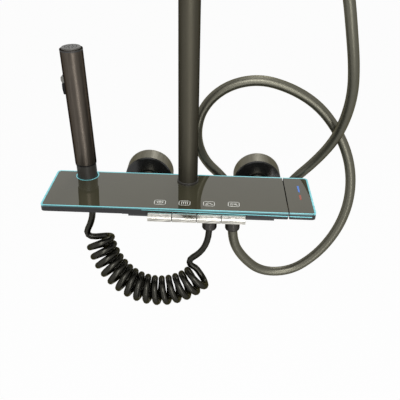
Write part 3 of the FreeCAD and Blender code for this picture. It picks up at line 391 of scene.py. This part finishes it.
coil_line = [mm(p) for p in VALVE_TAIL] + coil_points()[::-1] + [mm(p) for p in WAND_TAIL[::-1]]
curly_hose, coil_path = hose("curly_hose", coil_line, COIL_TUBE_RADIUS * MM, COIL_RESOLUTION,
                             COIL_SIDES)
curly_hose.data.materials.append(COIL_SHEATH)
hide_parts("coil_hose", "wand_tail", "valve_tail")
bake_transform(curly_hose)

# Details, in millimetres and degrees
EDGE_SEGMENTS = 3
EDGE_ANGLE = 40


def piece_of(name, maker, material, body):
    """A mesh piece made by a function that fills a bmesh, riding on a body."""
    mesh = bpy.data.meshes.new(name)
    shape = bmesh.new()
    maker(shape)
    bmesh.ops.recalc_face_normals(shape, faces=shape.faces)
    shape.to_mesh(mesh)
    shape.free()
    piece = bpy.data.objects.new(name, mesh)
    mesh.materials.append(material)
    collection.objects.link(piece)
    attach(piece, body)
    return piece


def prism(shape, outline, axis, low, high):
    """A solid between two copies of an outline, set apart along one axis."""
    def corner(pair, along):
        values = list(pair)
        values.insert("XYZ".index(axis), along)
        return mm(values)
    first = [shape.verts.new(corner(pair, low)) for pair in outline]
    second = [shape.verts.new(corner(pair, high)) for pair in outline]
    shape.faces.new(first)
    shape.faces.new(second[::-1])
    for index in range(len(outline)):
        after = (index + 1) % len(outline)
        shape.faces.new((first[index], second[index], second[after], first[after]))


def soften(piece, width):
    """Round the sharp edges of a piece."""
    bevel = piece.modifiers.new("edges", "BEVEL")
    bevel.width = width * MM
    bevel.segments = EDGE_SEGMENTS
    bevel.limit_method = "ANGLE"
    bevel.angle_limit = math.radians(EDGE_ANGLE)
    bevel.harden_normals = True
    piece.data.shade_smooth()


# Keys: bright bars with a polished top and a front painted darker with diagonal streaks, as
# painted shade and painted reflections
KEY_OUTLINE = [
    (-153.4, 12.6), (-114.5, 12.6), (-114.5, -5.0), (-108.5, -5.0), (-108.5, 19.5), (-148.2, 19.5),
    (-153.4, 17.4),
]
KEY_EDGE = 0.35
KEY_FRONT_LIMIT = -0.3
KEY_FRONT_Y = -150.0


def make_key(index, x):
    """One key, whose front and the slope above it have the darker streaked metal: painted shade
    and painted reflections.
    """
    def fill(shape):
        prism(shape, KEY_OUTLINE, "X", x - KEY_WIDTH / 2, x + KEY_WIDTH / 2)
    key = piece_of(f"piano_key_{index}", fill, KEY_TOP_METAL, f"key_{index}")
    key.data.materials.append(KEY_FRONT_PAINTED_SHADE)
    for face in key.data.polygons:
        if face.normal.y < KEY_FRONT_LIMIT and face.center.y < KEY_FRONT_Y * MM:
            face.material_index = 1
    soften(key, KEY_EDGE)
    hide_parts(f"key_{index}")


for number, place in enumerate(KEY_XS, start=1):
    make_key(number, place)

# Dark plates in the gaps between the keys, hung from the tray's front wall: painted shade standing
# in for the shadow between the keys
GAP_SHADE_OUTLINE = [
    (-152.8, 13.2), (-141.6, 13.2), (-141.6, 20.3), (-143.2, 20.3), (-143.2, 19.1), (-148.1, 19.1),
    (-152.8, 17.2),
]
GAP_SHADE_HALF = 0.3


def key_gap_shades(shape):
    for here, there in zip(KEY_XS, KEY_XS[1:]):
        middle = (here + there) / 2
        prism(shape, GAP_SHADE_OUTLINE, "X", middle - GAP_SHADE_HALF, middle + GAP_SHADE_HALF)


# Painted shade between the keys: dark plates riding on the mixer
piece_of("key_gap_shades", key_gap_shades, RUBBER, "mixer")

# Thin glowing lines on the front walls, drawing away from the light guides to the right
LINE_FRONT = -143.5
LINE_BACK = -143.35
SHELF_LINE = [(-70, 21.9), (104.3, 19.4), (104.3, 20.5), (-70, 22.35)]
KNOB_LINE = [(105.7, 19.4), (132.4, 19.2), (132.4, 20.3), (105.7, 20.5)]


def glow_line(name, outline, body):
    def fill(shape):
        prism(shape, outline, "Y", LINE_FRONT, LINE_BACK)
    piece_of(name, fill, LIGHT_GUIDE, body)


glow_line("shelf_glow_line", SHELF_LINE, "mixer")
glow_line("knob_glow_line", KNOB_LINE, "temperature_block")

# Printed pictograms on the glass, one behind each key: the middle of each and its lines about it
PRINT_Z = SHELF_TOP + 0.01
PRINT_T = 0.05
FRAME_HALF = (6.6, 5.0)
FRAME_CUT = 1.2
FRAME_LINE = 0.75
ICON_SCALE = 0.8
ICON_LINE = 0.8
PICTOGRAMS = [
    (-49.3, -127.6, [[(-5, 2.2), (5, 2.2)], [(-4.4, 2.2), (-3.4, -2.2), (3.4, -2.2), (4.4, 2.2)],
                     [(-1.2, 0.6), (1.2, 0.6)]]),
    (-19.6, -127.3, [[(-5, 3), (5, 3)], [(-4.4, 1.6), (-4.4, -3)], [(-1.5, 1.6), (-1.5, -3)],
                     [(1.5, 1.6), (1.5, -3)], [(4.4, 1.6), (4.4, -3)]]),
    (10.0, -127.2, [[(-4.6, -1.2), (-2.4, 2.4), (1.2, 1.6), (5, -2.2)], [(-4.6, -2.6), (-4, -3.4)],
                    [(-2.4, -1.4), (-1.6, -2.6)]]),
    (39.8, -126.4, [[(-5, 0.4), (-3.4, 2.6), (-1, 1.6), (5.2, -2.8)], [(-4.8, -1.4), (-4, -3)],
                    [(-2.6, -0.6), (-2, -2.2)], [(1.8, 1.8), (4.6, 1)]]),
]


def stroke(shape, points, width, closed=False):
    """A flat printed line of an even width through points, as thin solid bars."""
    count = len(points) if closed else len(points) - 1
    for index in range(count):
        start = Vector(points[index])
        end = Vector(points[(index + 1) % len(points)])
        along = (end - start).normalized() * width / 2
        side = Vector((-along.y, along.x))
        corners = [start - along - side, end + along - side, end + along + side,
                   start - along + side]
        prism(shape, [tuple(c) for c in corners], "Z", PRINT_Z, PRINT_Z + PRINT_T)


def make_pictogram(index, x, y, lines):
    """A line sign in a frame with cut corners."""
    def fill(shape):
        across, deep = FRAME_HALF
        edge = [(-across + FRAME_CUT, -deep), (across - FRAME_CUT, -deep),
                (across, -deep + FRAME_CUT), (across, deep - FRAME_CUT),
                (across - FRAME_CUT, deep), (-across + FRAME_CUT, deep),
                (-across, deep - FRAME_CUT), (-across, -deep + FRAME_CUT)]
        stroke(shape, [(x + u, y + v) for u, v in edge], FRAME_LINE, closed=True)
        for line in lines:
            stroke(shape, [(x + u * ICON_SCALE, y + v * ICON_SCALE) for u, v in line], ICON_LINE)
    piece_of(f"pictogram_{index}", fill, PRINT_WHITE, "mixer")


for number, (px, py, marks) in enumerate(PICTOGRAMS, start=1):
    make_pictogram(number, px, py, marks)

# Printed temperature marks: bars with a pointed front end
MARK_X = 122.6
MARK_FRONT_HALF = 1.0
MARK_BACK_HALF = 1.3
MARK_POINT = 1.5
COLD_MARK_YS = (-92.0, -75.0)
HOT_MARK_YS = (-111.0, -98.6)


def temperature_mark(name, low, high, material):
    def fill(shape):
        outline = [(MARK_X - MARK_FRONT_HALF, low + MARK_POINT), (MARK_X, low),
                   (MARK_X + MARK_FRONT_HALF, low + MARK_POINT), (MARK_X + MARK_BACK_HALF, high),
                   (MARK_X - MARK_BACK_HALF, high)]
        prism(shape, outline, "Z", PRINT_Z, PRINT_Z + PRINT_T)
    piece_of(name, fill, material, "temperature_block")


temperature_mark("cold_mark", *COLD_MARK_YS, PRINT_BLUE)
temperature_mark("hot_mark", *HOT_MARK_YS, PRINT_RED)

# Wand: all its details stand in the wand's own leaning frame. A ring has an inner and an outer
# radius, then a lower and an upper height.
WAND_FRAME = Matrix.Translation(mm(WAND_FOOT)) @ Matrix.Rotation(math.radians(-WAND_LEAN), 4, "Y")
RING_SIDES = 64
COLLAR_RING = (12.75, 13.4, 18.0, 19.95)
COLLAR_EDGE = 0.25
RIM_RING = (13.56, 13.66, 164.7, 166.2)


def ring(shape, inner, outer, low, high):
    """A flat ring about the Z axis, as a closed solid."""
    loops = []
    for radius, height in ((inner, low), (outer, low), (outer, high), (inner, high)):
        loops.append([shape.verts.new(mm((radius * math.cos(2 * math.pi * k / RING_SIDES),
                                          radius * math.sin(2 * math.pi * k / RING_SIDES),
                                          height)))
                      for k in range(RING_SIDES)])
    for index, here in enumerate(loops):
        there = loops[(index + 1) % len(loops)]
        for k in range(RING_SIDES):
            after = (k + 1) % RING_SIDES
            shape.faces.new((here[k], here[after], there[after], there[k]))


def wand_piece(name, maker, material, body):
    """A piece that is filled upright and then stood in the wand's frame."""
    def fill(shape):
        maker(shape)
        bmesh.ops.transform(shape, matrix=WAND_FRAME, verts=shape.verts)
    return piece_of(name, fill, material, body)


collar = wand_piece("wand_collar", lambda shape: ring(shape, *COLLAR_RING), TRIGGER_BLACK,
                    "spray_wand")
soften(collar, COLLAR_EDGE)
wand_piece("wand_rim", lambda shape: ring(shape, *RIM_RING), RUBBER, "spray_wand")

# Soft nozzles: radius at the foot, radius at the tip and height of a blunt cone
NOZZLE_SIDES = 12
WAND_NOZZLE = (0.8, 0.5, 0.6)
WAND_NOZZLE_RINGS = ((6, 3.2), (12, 7.0))
WAND_NOZZLE_Z = 168.6


def nozzle(shape, foot, tip, height, spot):
    bmesh.ops.create_cone(shape, cap_ends=True, segments=NOZZLE_SIDES, radius1=foot * MM,
                          radius2=tip * MM, depth=height * MM, matrix=spot)


def wand_nozzles(shape):
    for count, radius in WAND_NOZZLE_RINGS:
        for k in range(count):
            angle = 2 * math.pi * k / count
            at = mm((radius * math.cos(angle), radius * math.sin(angle), WAND_NOZZLE_Z))
            nozzle(shape, *WAND_NOZZLE, Matrix.Translation(at))


wand_piece("wand_nozzles", wand_nozzles, RUBBER, "spray_wand")

# Trigger: the lower and upper height of each half and how far it stands out of the wand, of which
# the lower and upper ends have a share
TRIGGER_UPPER = (126.2, 134, 2.6)
TRIGGER_LOWER = (112, 126, 2.1)
TRIGGER_LOW_SHARE = 0.6
TRIGGER_HIGH_SHARE = 0.9
TRIGGER_INSIDE = -9.6
TRIGGER_HALF_WIDTH = 5.5
TRIGGER_EDGE = 0.9


def trigger_half(low, high, out):
    def fill(shape):
        outline = [(-WAND_RADIUS - out * TRIGGER_LOW_SHARE, low), (TRIGGER_INSIDE, low),
                   (TRIGGER_INSIDE, high), (-WAND_RADIUS - out * TRIGGER_HIGH_SHARE, high),
                   (-WAND_RADIUS - out, (low + high) / 2)]
        prism(shape, outline, "Y", -TRIGGER_HALF_WIDTH, TRIGGER_HALF_WIDTH)
    return fill


upper = wand_piece("trigger_upper", trigger_half(*TRIGGER_UPPER), BUTTON_GREY, "trigger")
lower = wand_piece("trigger_lower", trigger_half(*TRIGGER_LOWER), TRIGGER_BLACK, "trigger")
soften(upper, TRIGGER_EDGE)
soften(lower, TRIGGER_EDGE)
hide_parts("wand_trigger")

# Hand shower: rows of soft nozzles on its face, every second row shifted by a share of a column
HANDSET_NOZZLE = (1.1, 0.7, 1.2)
HANDSET_NOZZLE_PROUD = 0.2
HANDSET_ROWS = 14
HANDSET_COLUMNS = 3
ROW_SHIFT = 0.25
ROW_START = 0.7
ROW_SPAN = 14.4


def handset_nozzles(shape):
    low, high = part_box("handset_face")
    y = low.y - HANDSET_NOZZLE_PROUD * MM
    forward = Matrix.Rotation(math.pi / 2, 4, "X")
    for row in range(HANDSET_ROWS):
        shift = ROW_SHIFT * (row % 2 - 0.5)
        z = low.z + (high.z - low.z) * (row + ROW_START) / ROW_SPAN
        for column in range(HANDSET_COLUMNS):
            x = low.x + (high.x - low.x) * (column + 0.5 + shift) / HANDSET_COLUMNS
            nozzle(shape, *HANDSET_NOZZLE, Matrix.Translation((x, y, z)) @ forward)


piece_of("handset_nozzles", handset_nozzles, RUBBER, "hand_shower")

# Floor, world and lamps, in metres and watts; a lamp has a place, an aim, a size and a power
FLOOR_HALF = 30.0
FLOOR_Z = -1.0
FLOOR_COLOUR = (0.95, 0.95, 0.95, 1)
FLOOR_ROUGH = 0.9
FLOOR_WHITE = 0.95
WORLD_STRENGTH = 0.45
WHITE = (1, 1, 1, 1)
LAMPS = [
    ("left_strip", (-1.12, -1.26, -0.15), (-0.05, -0.07, -0.15), (0.25, 1.5), 1.3),
    ("front_strip", (0.45, -1.6, -0.15), (-0.05, -0.07, -0.15), (0.3, 1.5), 10),
    ("front_panel", (0.05, -0.95, 0.62), (-0.05, -0.1, -0.1), (0.45, 0.45), 6.5),
    ("back_panel", (0.23, 1.09, 1.15), (0, 0, 0), (0.5, 0.35), 5.5),
    ("top", (0.1, 0.0, 1.8), (0, -0.05, 0.1), (1.0, 0.8), 7),
]


def background_share(tree):
    """One for rays that show the background: seen, reflected or transmitted."""
    path = tree.nodes.new("ShaderNodeLightPath")
    first = tree.nodes.new("ShaderNodeMath")
    first.operation = "MAXIMUM"
    second = tree.nodes.new("ShaderNodeMath")
    second.operation = "MAXIMUM"
    tree.links.new(path.outputs["Is Camera Ray"], first.inputs[0])
    tree.links.new(path.outputs["Is Glossy Ray"], first.inputs[1])
    tree.links.new(first.outputs[0], second.inputs[0])
    tree.links.new(path.outputs["Is Transmission Ray"], second.inputs[1])
    return second.outputs[0]


def make_world():
    """A world that lights softly and looks white."""
    world = bpy.data.worlds.new("studio")
    bpy.context.scene.world = world
    world.use_nodes = True
    tree = world.node_tree
    light = tree.nodes["Background"]
    light.inputs["Color"].default_value = WHITE
    light.inputs["Strength"].default_value = WORLD_STRENGTH
    seen = tree.nodes.new("ShaderNodeBackground")
    seen.inputs["Color"].default_value = WHITE
    seen.inputs["Strength"].default_value = 1.0
    mix = tree.nodes.new("ShaderNodeMixShader")
    tree.links.new(background_share(tree), mix.inputs["Fac"])
    tree.links.new(light.outputs[0], mix.inputs[1])
    tree.links.new(seen.outputs[0], mix.inputs[2])
    tree.links.new(mix.outputs[0], tree.nodes["World Output"].inputs["Surface"])


def make_floor():
    """A pale floor that looks nearly white and keeps a little of the object's shadow."""
    mesh = bpy.data.meshes.new("floor")
    mesh.from_pydata([(-FLOOR_HALF, -FLOOR_HALF, FLOOR_Z), (FLOOR_HALF, -FLOOR_HALF, FLOOR_Z),
                      (FLOOR_HALF, FLOOR_HALF, FLOOR_Z), (-FLOOR_HALF, FLOOR_HALF, FLOOR_Z)],
                     [], [(0, 1, 2, 3)])
    floor = bpy.data.objects.new("floor", mesh)
    collection.objects.link(floor)
    material = bpy.data.materials.new("pale_floor")
    material.use_nodes = True
    tree = material.node_tree
    shader = tree.nodes["Principled BSDF"]
    shader.inputs["Base Color"].default_value = FLOOR_COLOUR
    shader.inputs["Roughness"].default_value = FLOOR_ROUGH
    share = tree.nodes.new("ShaderNodeMath")
    share.operation = "MULTIPLY"
    share.inputs[1].default_value = FLOOR_WHITE
    tree.links.new(background_share(tree), share.inputs[0])
    white = tree.nodes.new("ShaderNodeEmission")
    white.inputs["Strength"].default_value = 1.0
    mix = tree.nodes.new("ShaderNodeMixShader")
    tree.links.new(share.outputs[0], mix.inputs["Fac"])
    tree.links.new(shader.outputs[0], mix.inputs[1])
    tree.links.new(white.outputs[0], mix.inputs[2])
    tree.links.new(mix.outputs[0], tree.nodes["Material Output"].inputs["Surface"])
    mesh.materials.append(material)


def area_light(name, at, aim, size, power):
    """A rectangular lamp that looks at a point."""
    data = bpy.data.lights.new(name, "AREA")
    data.shape = "RECTANGLE"
    data.size, data.size_y = size
    data.energy = power
    lamp = bpy.data.objects.new(name, data)
    lamp.location = at
    lamp.rotation_euler = (Vector(aim) - Vector(at)).to_track_quat("-Z", "Y").to_euler()
    collection.objects.link(lamp)


make_world()
make_floor()
for lamp_row in LAMPS:
    area_light(*lamp_row)
bpy.context.scene.view_settings.view_transform = "Standard"
